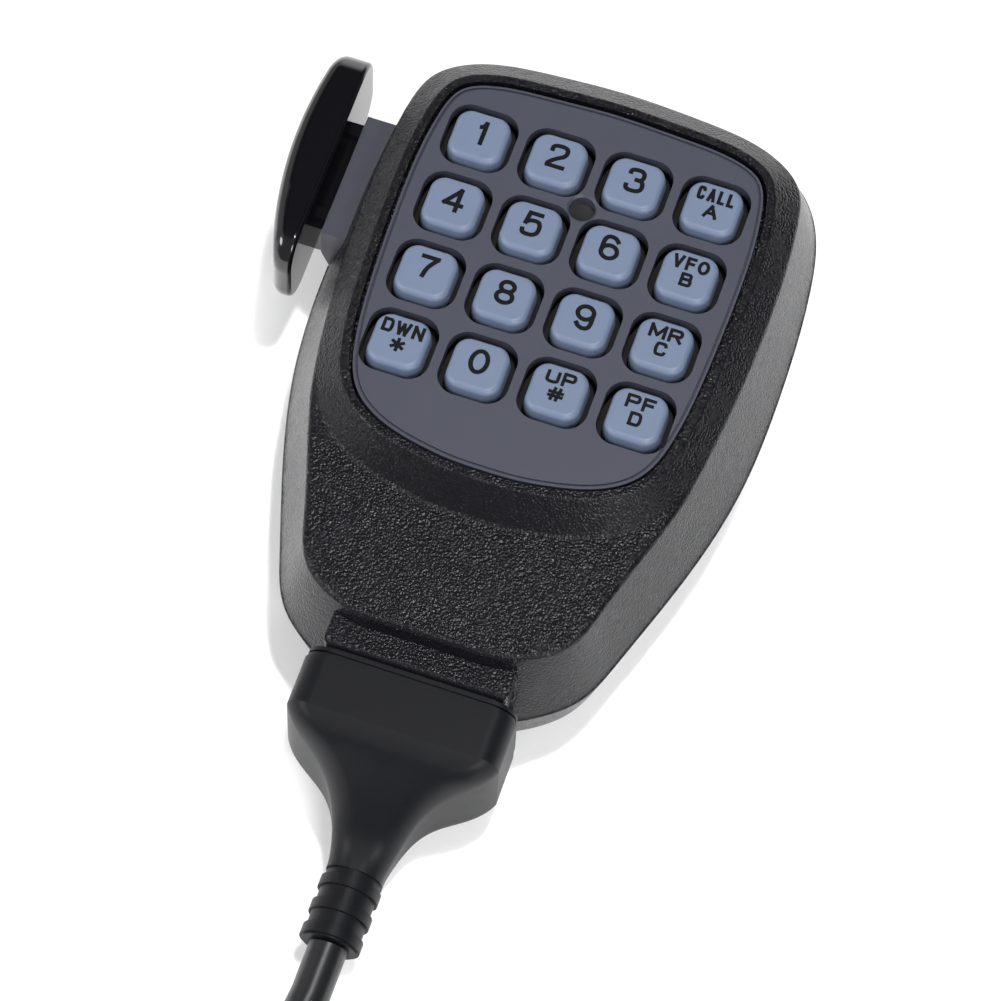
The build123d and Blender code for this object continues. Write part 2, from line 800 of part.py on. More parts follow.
# Slider: a block on the bar's neck, with a chamfered back corner and two ears that stop it inside
stem_plane = Plane(origin=(stem_step_x, stem_y, stem_z), x_dir=(0, 1, 0), z_dir=(1, 0, 0))
ear_plane = Plane(origin=(ear_outer_x, stem_y, stem_z), x_dir=(0, 1, 0), z_dir=(1, 0, 0))
with BuildPart() as ptt_stem:
    with BuildSketch(stem_plane):
        Rectangle(stem_length, stem_depth)
    extrude(amount=ear_inner_x - stem_step_x)
    back_corner = ptt_stem.edges().filter_by(Axis.Y).group_by(Axis.X)[0].sort_by(Axis.Z)[0]
    chamfer(back_corner, length=stem_chamfer_depth, length2=stem_chamfer_length)
    with BuildSketch(ear_plane):
        Rectangle(stem_length + 2 * ear_reach, stem_depth)
    extrude(amount=ear_inner_x - ear_outer_x)
ptt_stem.part.label = "ptt_stem"
export_step(ptt_stem.part, "parts/ptt_stem.step")

with BuildPart() as ptt_springs:
    for side in (-1, 1):
        spring_y = stem_y + side * spring_spread
        with BuildLine() as coil_line:
            Helix(
                pitch=spring_pitch,
                height=stop_x - ear_inner_x - 2 * (spring_wire_r + spring_end_gap),
                radius=spring_r,
                center=(ear_inner_x + spring_wire_r + spring_end_gap, spring_y, stem_z),
                direction=(1, 0, 0),
            )
        with BuildSketch(Plane(origin=coil_line.line @ 0, z_dir=coil_line.line % 0)):
            Circle(spring_wire_r)
        sweep(path=coil_line.line, is_frenet=True)
ptt_springs.part.label = "ptt_springs"
export_step(ptt_springs.part, "parts/ptt_springs.step")

with BuildPart() as ptt_switch:
    with BuildSketch(Plane(origin=(stop_x, stem_y, stem_z), z_dir=(-1, 0, 0))):
        Rectangle(switch_size, switch_size)
    extrude(amount=stop_x - switch_face_x)
    with BuildSketch(Plane(origin=(switch_face_x, stem_y, stem_z), z_dir=(-1, 0, 0))):
        Circle(switch_tip_r)
    extrude(amount=switch_face_x - switch_tip_x)
ptt_switch.part.label = "ptt_switch"
export_step(ptt_switch.part, "parts/ptt_switch.step")

# Case screws, from the back into the front case
with BuildPart() as case_screws:
    with BuildSketch(Plane.XY.offset(screw_seat_z)):
        with Locations(*case_screw_places):
            Circle(case_screw_head_r)
    extrude(amount=-case_screw_head)
    fillet(case_screws.faces().filter_by(Axis.Z).group_by(Axis.Z)[0].edges(), radius=case_head_round)
    with BuildSketch(Plane.XY.offset(screw_seat_z - case_screw_head)):
        with Locations(*case_screw_places):
            Rectangle(case_cross, case_cross_width)
            Rectangle(case_cross_width, case_cross)
    extrude(amount=case_cross_depth, mode=Mode.SUBTRACT)
    with BuildSketch(Plane.XY.offset(screw_seat_z)):
        with Locations(*case_screw_places):
            Circle(case_screw_r)
    extrude(amount=case_screw_tip_z - screw_seat_z)
case_screws.part.label = "case_screws"
export_step(case_screws.part, "parts/case_screws.step")

# Hang-up stud: a round head on a thinner neck, held by a flat-head screw
with BuildPart() as hanger_stud:
    with BuildSketch():
        Circle(stud_head_r)
    extrude(amount=stud_head)
    fillet(hanger_stud.edges().group_by(Axis.Z)[0], radius=stud_head_round)
    fillet(hanger_stud.edges().group_by(Axis.Z)[-1], radius=stud_back_round)
    with BuildSketch(Plane.XY.offset(stud_head)):
        Circle(stud_neck_r)
    extrude(amount=back_z - stud_head)
    with BuildSketch():
        Circle(stud_screw_r + thread_gap)
    extrude(amount=back_z, mode=Mode.SUBTRACT)
    with BuildSketch():
        Circle(stud_screw_head_r + stud_screw_gap)
    extrude(amount=stud_screw_sink, mode=Mode.SUBTRACT)
hanger_stud.part.label = "hanger_stud"
export_step(hanger_stud.part, "parts/hanger_stud.step")

with BuildPart() as hanger_screw:
    with BuildSketch(Plane.XY.offset(stud_screw_sink)):
        Circle(stud_screw_head_r)
    extrude(amount=stud_screw_inset - stud_screw_sink)
    chamfer(hanger_screw.faces().sort_by(Axis.Z)[0].edges(), length=stud_screw_chamfer)
    with BuildSketch(Plane.XY.offset(stud_screw_inset)):
        Rectangle(stud_cross, stud_cross_width)
        Rectangle(stud_cross_width, stud_cross)
    extrude(amount=stud_cross_depth, mode=Mode.SUBTRACT)
    with BuildSketch(Plane.XY.offset(stud_screw_sink)):
        Circle(stud_screw_r)
    extrude(amount=back_z + stud_screw_reach - stud_screw_sink)
hanger_screw.part.label = "hanger_screw"
export_step(hanger_screw.part, "parts/hanger_screw.step")

# Cable sheath inside the boot, from the tail up into the clamp
with BuildPart() as lead_in:
    with BuildLine() as lead_line:
        FilletPolyline(
            (0, boot_end_y, tail_z),
            (0, sheath_low_y, tail_z),
            (0, sheath_high_y, lead_z),
            (0, lead_end_y, lead_z),
            radius=sheath_bend_r,
        )
    with BuildSketch(Plane(origin=lead_line.line @ 0, z_dir=lead_line.line % 0)):
        Circle(cable_r)
    sweep(path=lead_line.line)
lead_in.part.label = "lead_in"
export_step(lead_in.part, "parts/lead_in.step")

# Boot: a block that covers the neck's end, drawn down to a ringed tail.
# Each section is a distance down the boot, its half width, its back level and its front level.
boot_sections = [
    (0, boot_half, boot_back_z, boot_front_z),
    (1.6, 13.4, boot_back_z - 0.3, boot_front_z - 0.5),
    (3.4, 10.9, boot_back_z - 1.1, boot_front_z - 1.9),
    (5.2, 8.0, boot_back_z - 2.1, boot_front_z - 4.6),
    (7.4, 6.0, boot_back_z - 3.0, boot_front_z - 7.8),
    (10.0, 4.8, boot_back_z - 3.7, boot_front_z - 10.8),
    (12.6, 4.1, boot_back_z - 3.9, boot_front_z - 12.4),
    (15.0, tail_r + 0.1, tail_z - tail_r - 0.1, tail_z + tail_r + 0.1),
]
boot_shoulder_y = tail_start_y + boot_sections[-1][0]
boot_depth = boot_front_z - boot_back_z
with BuildPart() as cable_boot:
    for down, half_width, low_z, high_z in boot_sections:
        section_height = high_z - low_z
        corner = boot_corner + (boot_tail_corner - boot_corner) * down / boot_sections[-1][0]
        section_plane = Plane(
            origin=(0, boot_shoulder_y - down, (low_z + high_z) / 2), x_dir=(1, 0, 0), z_dir=(0, -1, 0)
        )
        with BuildSketch(section_plane):
            RectangleRounded(2 * half_width, section_height, corner)
    loft()
    block_plane = Plane(
        origin=(0, boot_shoulder_y, (boot_back_z + boot_front_z) / 2), x_dir=(1, 0, 0), z_dir=(0, 1, 0)
    )
    with BuildSketch(block_plane):
        RectangleRounded(2 * boot_half, boot_depth, boot_corner)
    extrude(amount=flange_y - boot_shoulder_y)
    # two flange ridges against the neck
    for ridge in range(2):
        ridge_plane = Plane(
            origin=(0, flange_y + ridge * flange_pitch, (boot_back_z + boot_front_z) / 2),
            x_dir=(1, 0, 0),
            z_dir=(0, 1, 0),
        )
        with BuildSketch(ridge_plane):
            RectangleRounded(2 * (boot_half - flange_inset), boot_depth - flange_inset, boot_corner)
        extrude(amount=flange_pitch - flange_groove)
        with BuildSketch(ridge_plane):
            RectangleRounded(2 * (boot_half - groove_inset), boot_depth - groove_inset, boot_corner)
        extrude(amount=flange_pitch)
    # tongue inside the neck
    tongue_half = neck_half - neck_wall - tongue_gap
    tongue_low_z = neck_back_z + neck_wall + tongue_gap
    tongue_high_z = neck_front_z - neck_wall - tongue_gap
    with BuildSketch(Plane.XY.offset(tongue_low_z)):
        with Locations((0, neck_end_y)):
            Rectangle(2 * tongue_half, tongue_length, align=(Align.CENTER, Align.MIN))
    extrude(amount=tongue_high_z - tongue_low_z)
    # tail with three rings
    with BuildSketch(Plane(origin=(0, boot_end_y, tail_z), z_dir=(0, 1, 0))):
        Circle(tail_r)
    extrude(amount=tail_start_y + tail_overlap - boot_end_y)
    for ring in range(3):
        with BuildSketch(Plane(origin=(0, ring_first_y - ring * ring_pitch, tail_z), z_dir=(0, -1, 0))):
            Circle(ring_r)
        extrude(amount=ring_width)
    add(lead_in.part, mode=Mode.SUBTRACT)
cable_boot.part.label = "cable_boot"
export_step(cable_boot.part, "parts/cable_boot.step")

# Clamp over the sheath, with its two screws
with BuildPart() as cable_clamp:
    with BuildSketch(Plane.XY.offset(lead_z + clamp_gap)):
        with Locations((0, clamp_y)):
            Rectangle(2 * clamp_half, clamp_length)
        with Locations((-clamp_screw_x, clamp_y), (clamp_screw_x, clamp_y)):
            Circle(small_screw_r + bore_gap, mode=Mode.SUBTRACT)
    extrude(amount=clamp_top_z - lead_z - clamp_gap)
    fillet(cable_clamp.edges().filter_by(Axis.Z), radius=clamp_round)
    add(lead_in.part, mode=Mode.SUBTRACT)
cable_clamp.part.label = "cable_clamp"
export_step(cable_clamp.part, "parts/cable_clamp.step")

with BuildPart() as clamp_screws:
    with BuildSketch(Plane.XY.offset(clamp_top_z)):
        with Locations((-clamp_screw_x, clamp_y), (clamp_screw_x, clamp_y)):
            Circle(small_head_r)
    extrude(amount=small_head)
    fillet(clamp_screws.faces().filter_by(Axis.Z).group_by(Axis.Z)[-1].edges(), radius=small_round)
    with BuildSketch(Plane.XY.offset(clamp_top_z)):
        with Locations((-clamp_screw_x, clamp_y), (clamp_screw_x, clamp_y)):
            Circle(small_screw_r)
    extrude(amount=clamp_tip_z - clamp_top_z)
clamp_screws.part.label = "clamp_screws"
export_step(clamp_screws.part, "parts/clamp_screws.step")

# Wires from the sheath to the board's connector
with BuildPart() as inner_leads:
    for wire in range(lead_count):
        share = wire - (lead_count - 1) / 2
        low_x = share * lead_spread_low
        high_x = share * lead_spread_high
        with BuildLine() as wire_line:
            FilletPolyline(
                (low_x, lead_end_y, lead_z),
                (low_x, lead_end_y + lead_straight, lead_z),
                (high_x, connector_y, lead_z + lead_climb),
                (high_x, connector_y, board_back_z - lead_plug_seat - connector_height),
                radius=lead_bend_r,
            )
        with BuildSketch(Plane(origin=wire_line.line @ 0, z_dir=wire_line.line % 0)):
            Circle(lead_wire_r)
        sweep(path=wire_line.line)
inner_leads.part.label = "inner_leads"
export_step(inner_leads.part, "parts/inner_leads.step")


def tube_radii(points, diameter):
    # for each corner of a route, the largest arc that leaves its two runs enough room
    places = [Vector(*point) for point in points]
    radii = []
    for before, here, after in zip(places, places[1:], places[2:]):
        turn = math.radians((here - before).get_angle(after - here))
        run = min((here - before).length, (after - here).length)
        radii.append(0.45 * run / math.tan(turn / 2))
    print("arc radii in diameters:", [round(radius / diameter, 1) for radius in radii])
    return radii


def print_tube(name, tube, line):
    length = line.wire().length
    volume_share = tube.part.volume / (length * math.pi * cable_r**2)
    print(name, "length", round(length, 1), "volume share", round(volume_share, 4))


# Cable from the boot down to the surface and across to the coil
cable_route = [
    (0, boot_end_y, tail_z),
    (0.3, -105, 4.4),
    (-5, -120, 2.75),
    (-12.6, -134, 2.9),
    (-14.6, -149, 3.45),
]
with BuildPart() as cable:
    with BuildLine() as cable_line:
        FilletPolyline(cable_route, radius=tube_radii(cable_route, 2 * cable_r))
    with BuildSketch(Plane(origin=cable_line.line @ 0, z_dir=cable_line.line % 0)):
        Circle(cable_r)
    sweep(path=cable_line.line)
cable.part.label = "cable"
export_step(cable.part, "parts/cable.step")
print_tube("cable", cable, cable_line)

# Outer shape of the coiled cable
coil_top_z = tie_thickness + coil_layers * 2 * cable_r
with BuildPart() as cable_coil:
    with BuildSketch(Plane.XY.offset(tie_thickness)):
        with Locations((coil_x, coil_y)):
            Circle(coil_outer_r)
            Circle(coil_inner_r, mode=Mode.SUBTRACT)
    extrude(amount=coil_top_z - tie_thickness)
    fillet(cable_coil.edges(), radius=cable_r)
cable_coil.part.label = "cable_coil"
export_step(cable_coil.part, "parts/cable_coil.step")

# Its end, which leaves the top of the coil and runs into the plug
tail_route = [
    (coil_x - 28.5, coil_y - 8, coil_top_z - cable_r),
    (coil_x - 21.5, coil_y - 21, coil_top_z),
    (coil_x - 9, plug_y, coil_top_z + cable_r),
    (plug_x, plug_y, coil_top_z + cable_r),
]
with BuildPart() as cable_tail:
    with BuildLine() as tail_line:
        FilletPolyline(tail_route, radius=tube_radii(tail_route, 2 * cable_r))
    with BuildSketch(Plane(origin=tail_line.line @ 0, z_dir=tail_line.line % 0)):
        Circle(cable_r)
    sweep(path=tail_line.line)
cable_tail.part.label = "cable_tail"
export_step(cable_tail.part, "parts/cable_tail.step")
print_tube("cable_tail", cable_tail, tail_line)

# Strap round the coil
tie_inner_x = coil_x + math.sqrt(coil_inner_r**2 - tie_width**2 / 4) - tie_gap
with BuildPart() as cable_tie:
    with BuildSketch(Plane.XZ.offset(-coil_y - tie_width / 2)):
        with Locations((tie_inner_x - tie_thickness, 0)):
            Rectangle(
                coil_x + coil_outer_r - tie_inner_x + 2 * tie_thickness,
                coil_top_z + tie_thickness,
                align=(Align.MIN, Align.MIN),
            )
        with Locations((tie_inner_x, tie_thickness)):
            Rectangle(
                coil_x + coil_outer_r - tie_inner_x,
                coil_top_z - tie_thickness,
                align=(Align.MIN, Align.MIN),
                mode=Mode.SUBTRACT,
            )
    extrude(amount=tie_width)
cable_tie.part.label = "cable_tie"
export_step(cable_tie.part, "parts/cable_tie.step")

# Modular plug on the coil, contacts down and latch up
with BuildPart() as plug_body:
    with BuildSketch(Plane.XY.offset(coil_top_z)):
        with Locations((plug_x, plug_y)):
            Rectangle(plug_length, plug_width, align=(Align.MIN, Align.CENTER))
    extrude(amount=plug_height)
    with BuildSketch(Plane.XY.offset(coil_top_z)):
        with Locations((plug_x + plug_length, plug_y)):
            with GridLocations(0, contact_pitch, 1, 8):
                Rectangle(2 * contact_reach, contact_slot)
    extrude(amount=contact_groove, mode=Mode.SUBTRACT)
plug_body.part.label = "plug_body"
export_step(plug_body.part, "parts/plug_body.step")

with BuildPart() as plug_contacts:
    with BuildSketch(Plane.XY.offset(coil_top_z + contact_sink)):
        with Locations((plug_x + plug_length - contact_reach / 2 - contact_inset, plug_y)):
            with GridLocations(0, contact_pitch, 1, 8):
                Rectangle(contact_reach - 2 * contact_inset, contact_slot - 2 * contact_side_gap)
    extrude(amount=contact_groove - contact_sink)
plug_contacts.part.label = "plug_contacts"
export_step(plug_contacts.part, "parts/plug_contacts.step")

plug_nose_x = plug_x + plug_length
plug_top_z = coil_top_z + plug_height
with BuildPart() as plug_latch:
    with BuildSketch(Plane.XZ.offset(-plug_y - latch_width / 2)):
        with BuildLine():
            Polyline(
                (plug_nose_x - latch_root, plug_top_z),
                (plug_nose_x - latch_bend, plug_top_z),
                (plug_x + latch_end, plug_top_z + latch_lift),
                (plug_x + latch_end, plug_top_z + latch_lift + latch_thickness),
                (plug_nose_x - latch_bend, plug_top_z + latch_bend_lift),
                (plug_nose_x - latch_root, plug_top_z + latch_root_lift),
                close=True,
            )
        make_face()
    extrude(amount=latch_width)
plug_latch.part.label = "plug_latch"
export_step(plug_latch.part, "parts/plug_latch.step")
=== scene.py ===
import math

import bpy
import numpy as np
from mathutils import Matrix, Vector


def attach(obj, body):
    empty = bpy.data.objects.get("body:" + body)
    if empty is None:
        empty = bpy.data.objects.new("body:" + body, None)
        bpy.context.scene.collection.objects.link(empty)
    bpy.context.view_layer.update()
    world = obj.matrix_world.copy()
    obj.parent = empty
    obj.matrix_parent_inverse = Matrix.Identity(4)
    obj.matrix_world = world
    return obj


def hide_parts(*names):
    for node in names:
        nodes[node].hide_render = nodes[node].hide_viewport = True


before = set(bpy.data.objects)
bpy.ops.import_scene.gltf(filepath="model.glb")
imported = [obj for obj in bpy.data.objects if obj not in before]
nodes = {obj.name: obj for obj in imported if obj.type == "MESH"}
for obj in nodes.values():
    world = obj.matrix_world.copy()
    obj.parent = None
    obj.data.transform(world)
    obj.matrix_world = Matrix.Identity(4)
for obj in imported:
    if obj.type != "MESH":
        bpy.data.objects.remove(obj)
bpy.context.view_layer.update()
mm = 0.001  # every size below is in millimetres, and Blender's unit is the metre
print("frame loaded:", len(nodes), "nodes")

# The view
cameraSetup = {
    "place": (69.46, -277.83, 559.16),
    "azimuth": 15.12,  # degrees round from -Y
    "elevation": 64.46,  # degrees above the floor
    "roll": 3.94,
    "lens": 162.15,
    "sensor": 36.0,
}


def addCamera(setup):
    around, above, roll = (math.radians(setup[key]) for key in ("azimuth", "elevation", "roll"))
    back = np.array([
        math.sin(around) * math.cos(above),
        -math.cos(around) * math.cos(above),
        math.sin(above),
    ])
    level = np.array([math.cos(around), math.sin(around), 0.0])
    right = math.cos(roll) * level + math.sin(roll) * np.cross(back, level)
    turn = np.column_stack([right, np.cross(back, right), back])
    place = Matrix(turn.tolist()).to_4x4()
    place.translation = [value * mm for value in setup["place"]]
    data = bpy.data.cameras.new("studioCamera")
    data.lens = setup["lens"]
    data.sensor_width = setup["sensor"]
    nearClip, farClip = 0.05, 20  # metres
    data.clip_start = nearClip
    data.clip_end = farClip
    camera = bpy.data.objects.new("studioCamera", data)
    camera.matrix_world = place
    bpy.context.scene.collection.objects.link(camera)
    bpy.context.scene.camera = camera


addCamera(cameraSetup)
print("camera set")

# Small helpers


def linearColour(code):
    # sRGB hex to linear light: c / 12.92 when dark, else ((c + 0.055) / 1.055) to the power 2.4
    c = np.array([int(code[i:i + 2], 16) for i in (1, 3, 5)]) / 255
    linear = np.where(c <= 0.04045, c / 12.92, ((c + 0.055) / 1.055) ** 2.4)
    return (*linear.tolist(), 1.0)


def addNode(material, kind, settings=None, values=None, links=None):
    node = material.node_tree.nodes.new(kind)
    for name, value in (settings or {}).items():
        setattr(node, name, value)
    for name, value in (values or {}).items():
        node.inputs[name].default_value = value
    for name, socket in (links or {}).items():
        material.node_tree.links.new(socket, node.inputs[name])
    return node


# Materials
# Each finish: what it is, its colours, and its pattern at a real size in millimetres.
finishes = {
    "case_black": {  # moulded ABS with a fine leather grain: broad soft highlights, broken into specks
        "name": "leatherGrainedAbs", "colour": "#0f0f13", "second": "#15151a", "mottle": 2.5,
        "roughness": 0.27, "spread": 0.10, "grain": "leather", "size": 0.34, "depth": 0.08,
        "shader": {"IOR": 1.5, "Specular IOR Level": 0.26},
    },
    "panel_grey": {  # satin paint on polycarbonate: smooth, one soft broad sheen
        "name": "satinPaintedPolycarbonate", "colour": "#484a57", "second": "#4c4e5b", "mottle": 6.0,
        "roughness": 0.34, "spread": 0.04, "grain": "fine", "size": 0.25, "depth": 0.002,
        "shader": {"IOR": 1.5, "Coat Weight": 0.15, "Coat Roughness": 0.3},
    },
    "key_cap": {  # painted silicone under a clear matt coat: soft, with slightly paler edges
        "name": "coatedSiliconeKey", "colour": "#75839d", "second": "#7886a0", "mottle": 3.0,
        "roughness": 0.38, "spread": 0.05, "grain": "fine", "size": 0.3, "depth": 0.003,
        "shader": {"IOR": 1.45, "Subsurface Weight": 0.05, "Subsurface Radius": (0.0006, 0.0006, 0.0008)},
    },
    "silicone_black": {
        "name": "mattSilicone", "colour": "#0b0b0d", "second": "#101012", "mottle": 2.0,
        "roughness": 0.6, "spread": 0.06, "grain": "fine", "size": 0.3, "depth": 0.01,
        "shader": {"IOR": 1.43},
    },
    "board_green": {
        "name": "solderMask", "colour": "#12502c", "second": "#0f4526", "mottle": 1.5,
        "roughness": 0.3, "spread": 0.1, "grain": "fine", "size": 0.4, "depth": 0.01,
        "shader": {"IOR": 1.5},
    },
    "contact_gold": {
        "name": "goldPlating", "colour": "#e0bd70", "second": "#d6b064", "mottle": 1.0,
        "roughness": 0.25, "spread": 0.1, "grain": "brushed", "size": 0.12, "depth": 0.002,
        "shader": {"Metallic": 1.0},
    },
    "led_white": {
        "name": "frostedResin", "colour": "#e6e6de", "second": "#dcdcd2", "mottle": 1.0,
        "roughness": 0.45, "spread": 0.05, "grain": "fine", "size": 0.2, "depth": 0.004,
        "shader": {"IOR": 1.54, "Subsurface Weight": 0.3, "Subsurface Radius": (0.001, 0.001, 0.001)},
    },
    "chip_black": {
        "name": "mouldedEpoxy", "colour": "#202022", "second": "#262628", "mottle": 0.8,
        "roughness": 0.7, "spread": 0.08, "grain": "fine", "size": 0.15, "depth": 0.01,
        "shader": {"IOR": 1.55},
    },
    "tinned_metal": {
        "name": "tinnedCopper", "colour": "#cfcfcc", "second": "#bdbdb9", "mottle": 0.8,
        "roughness": 0.3, "spread": 0.12, "grain": "brushed", "size": 0.15, "depth": 0.003,
        "shader": {"Metallic": 1.0},
    },
    "capacitor_sleeve": {
        "name": "shrunkVinylSleeve", "colour": "#171d33", "second": "#1d2440", "mottle": 1.5,
        "roughness": 0.25, "spread": 0.05, "grain": "fine", "size": 0.4, "depth": 0.005,
        "shader": {"IOR": 1.5},
    },
    "nylon_white": {
        "name": "naturalNylon", "colour": "#e2dcc9", "second": "#d8d1bc", "mottle": 1.5,
        "roughness": 0.45, "spread": 0.06, "grain": "fine", "size": 0.3, "depth": 0.005,
        "shader": {"IOR": 1.53, "Subsurface Weight": 0.15, "Subsurface Radius": (0.001, 0.001, 0.001)},
    },
    "screw_steel": {
        "name": "zincPlatedSteel", "colour": "#bfc1c2", "second": "#a9abad", "mottle": 0.7,
        "roughness": 0.32, "spread": 0.14, "grain": "brushed", "size": 0.12, "depth": 0.004,
        "shader": {"Metallic": 1.0},
    },
    "bar_gloss": {  # polished ABS: near-mirror black, with faint orange peel from the mould
        "name": "polishedAbs", "colour": "#0c0c10", "second": "#0e0e13", "mottle": 5.0,
        "roughness": 0.14, "spread": 0.03, "grain": "fine", "size": 2.2, "depth": 0.004,
        "shader": {"IOR": 1.54, "Coat Weight": 0.3, "Coat Roughness": 0.08},
    },
    "slider_grey": {  # moulded acetal: waxy grey, slightly soft highlights
        "name": "mouldedAcetal", "colour": "#4a4b56", "second": "#50515c", "mottle": 2.5,
        "roughness": 0.4, "spread": 0.06, "grain": "fine", "size": 0.35, "depth": 0.008,
        "shader": {"IOR": 1.48},
    },
    "stud_nickel": {
        "name": "turnedNickelPlate", "colour": "#cdc9c0", "second": "#bdb9b0", "mottle": 1.2,
        "roughness": 0.22, "spread": 0.1, "grain": "turned", "size": 0.16, "depth": 0.006,
        "shader": {"Metallic": 1.0},
    },
    "cable_black": {  # extruded PVC sheath: semi-gloss, faintly uneven along its length
        "name": "extrudedPvcSheath", "colour": "#0e0f13", "second": "#131418", "mottle": 4.0,
        "roughness": 0.36, "spread": 0.08, "grain": "fine", "size": 0.6, "depth": 0.012,
        "shader": {"IOR": 1.52},
    },
    "boot_rubber": {  # moulded rubber-like PVC: matt, with a dusty soft sheen
        "name": "mouldedBootRubber", "colour": "#0e0f13", "second": "#131419", "mottle": 3.0,
        "roughness": 0.46, "spread": 0.08, "grain": "fine", "size": 0.35, "depth": 0.012,
        "shader": {"IOR": 1.48, "Specular IOR Level": 0.25},
    },
    "wire_pvc": {
        "name": "colouredWirePvc", "colour": "#a32620", "second": "#8f1f1a", "mottle": 2.0,
        "roughness": 0.35, "spread": 0.05, "grain": "fine", "size": 0.3, "depth": 0.004,
        "shader": {"IOR": 1.52},
    },
    "tie_fabric": {  # woven hook-and-loop tape: a dull plain weave with a fibrous sheen
        "name": "wovenHookAndLoopTape", "colour": "#17171a", "second": "#26262a", "mottle": 1.2,
        "roughness": 0.85, "spread": 0.08, "grain": "weave", "size": 0.7, "depth": 0.12,
        "shader": {"IOR": 1.5, "Sheen Weight": 0.35, "Sheen Roughness": 0.6},
    },
    "plug_clear": {  # moulded polycarbonate: clear with a smoky cast, glossy faces
        "name": "clearPolycarbonate", "colour": "#dfe4e6", "second": "#d9dfe2", "mottle": 4.0,
        "roughness": 0.08, "spread": 0.03, "grain": "fine", "size": 1.2, "depth": 0.002,
        "shader": {"IOR": 1.58, "Transmission Weight": 0.85},
    },
    "ink_dark": {  # pad-printed ink: flat, a little rougher than what it lies on
        "name": "padPrintedInk", "colour": "#08080b", "second": "#0c0c0f", "mottle": 0.8,
        "roughness": 0.5, "spread": 0.08, "grain": "fine", "size": 0.2, "depth": 0.002,
        "shader": {"IOR": 1.5, "Specular IOR Level": 0.2},
    },
}


def grainHeight(material, spec, place):
    # the height socket of a finish's relief, 0 to 1, at its real size
    perMetre = 1 / (spec["size"] * mm)
    kind = spec["grain"]
    if kind == "leather":
        # cells of the grain's size with soft valleys, bent by a slow noise so that no rows show
        wander = addNode(material, "ShaderNodeTexNoise", values={"Scale": perMetre * 0.6, "Detail": 2.0},
                         links={"Vector": place})
        shift = addNode(material, "ShaderNodeVectorMath", {"operation": "SCALE"},
                        {"Scale": spec["size"] * mm}, {0: wander.outputs["Color"]})
        bent = addNode(material, "ShaderNodeVectorMath", links={0: place, 1: shift.outputs[0]})
        cells = addNode(material, "ShaderNodeTexVoronoi", {"feature": "SMOOTH_F1"},
                        {"Scale": perMetre, "Smoothness": 0.35}, {"Vector": bent.outputs[0]})
        rounded = addNode(material, "ShaderNodeMath", {"operation": "SUBTRACT"}, {0: 1.0},
                          {1: cells.outputs["Distance"]})
        return rounded.outputs[0]
    if kind == "weave":
        # plain weave: sine ridges of the yarn spacing in two directions, the higher one on top
        ridges = [
            addNode(material, "ShaderNodeTexWave",
                    {"wave_type": "BANDS", "bands_direction": direction, "wave_profile": "SIN"},
                    {"Scale": perMetre / 3.0, "Distortion": 0.6, "Detail": 1.0}, {"Vector": place})
            for direction in ("Y", "DIAGONAL")
        ]
        high = addNode(material, "ShaderNodeMath", {"operation": "MAXIMUM"},
                       links={0: ridges[0].outputs["Fac"], 1: ridges[1].outputs["Fac"]})
        return high.outputs[0]
    if kind == "turned":
        # rings round Z, as a lathe tool leaves
        rings = addNode(material, "ShaderNodeTexWave",
                        {"wave_type": "RINGS", "rings_direction": "Z", "wave_profile": "SAW"},
                        {"Scale": perMetre / 6.0, "Distortion": 0.2}, {"Vector": place})
        return rings.outputs["Fac"]
    stretch = (1.0, 1.0, 8.0) if kind == "brushed" else (1.0, 1.0, 1.0)
    scaled = addNode(material, "ShaderNodeMapping", values={"Scale": stretch}, links={"Vector": place})
    noise = addNode(material, "ShaderNodeTexNoise",
                    values={"Scale": perMetre, "Detail": 3.0, "Roughness": 0.55},
                    links={"Vector": scaled.outputs["Vector"]})
    return noise.outputs["Fac"]


def makeFinish(spec):
    material = bpy.data.materials.new(spec["name"])
    material.use_nodes = True
    shader = next(n for n in material.node_tree.nodes if n.type == "BSDF_PRINCIPLED")
    for name, value in spec["shader"].items():
        shader.inputs[name].default_value = value
    coordinates = addNode(material, "ShaderNodeTexCoord")
    place = coordinates.outputs["Object"]
    mottle = addNode(material, "ShaderNodeTexNoise",
                     values={"Scale": 1 / (spec["mottle"] * mm), "Detail": 4.0, "Roughness": 0.6},
                     links={"Vector": place})
    colours = addNode(material, "ShaderNodeMix", {"data_type": "RGBA"}, links={0: mottle.outputs["Fac"]})
    colours.inputs[6].default_value = linearColour(spec["colour"])
    colours.inputs[7].default_value = linearColour(spec["second"])
    rough = addNode(material, "ShaderNodeMapRange", links={"Value": mottle.outputs["Fac"]},
                    values={"To Min": spec["roughness"] - spec["spread"] / 2,
                            "To Max": spec["roughness"] + spec["spread"] / 2})
    bump = addNode(material, "ShaderNodeBump", values={"Strength": 1.0, "Distance": spec["depth"] * mm},
                   links={"Height": grainHeight(material, spec, place)})
    links = material.node_tree.links
    links.new(colours.outputs[2], shader.inputs["Base Color"])
    links.new(rough.outputs["Result"], shader.inputs["Roughness"])
    links.new(bump.outputs["Normal"], shader.inputs["Normal"])
    return material


materials = {slot: makeFinish(spec) for slot, spec in finishes.items()}


def finish(piece, slot):
    piece.data.materials.clear()
    piece.data.materials.append(materials[slot])


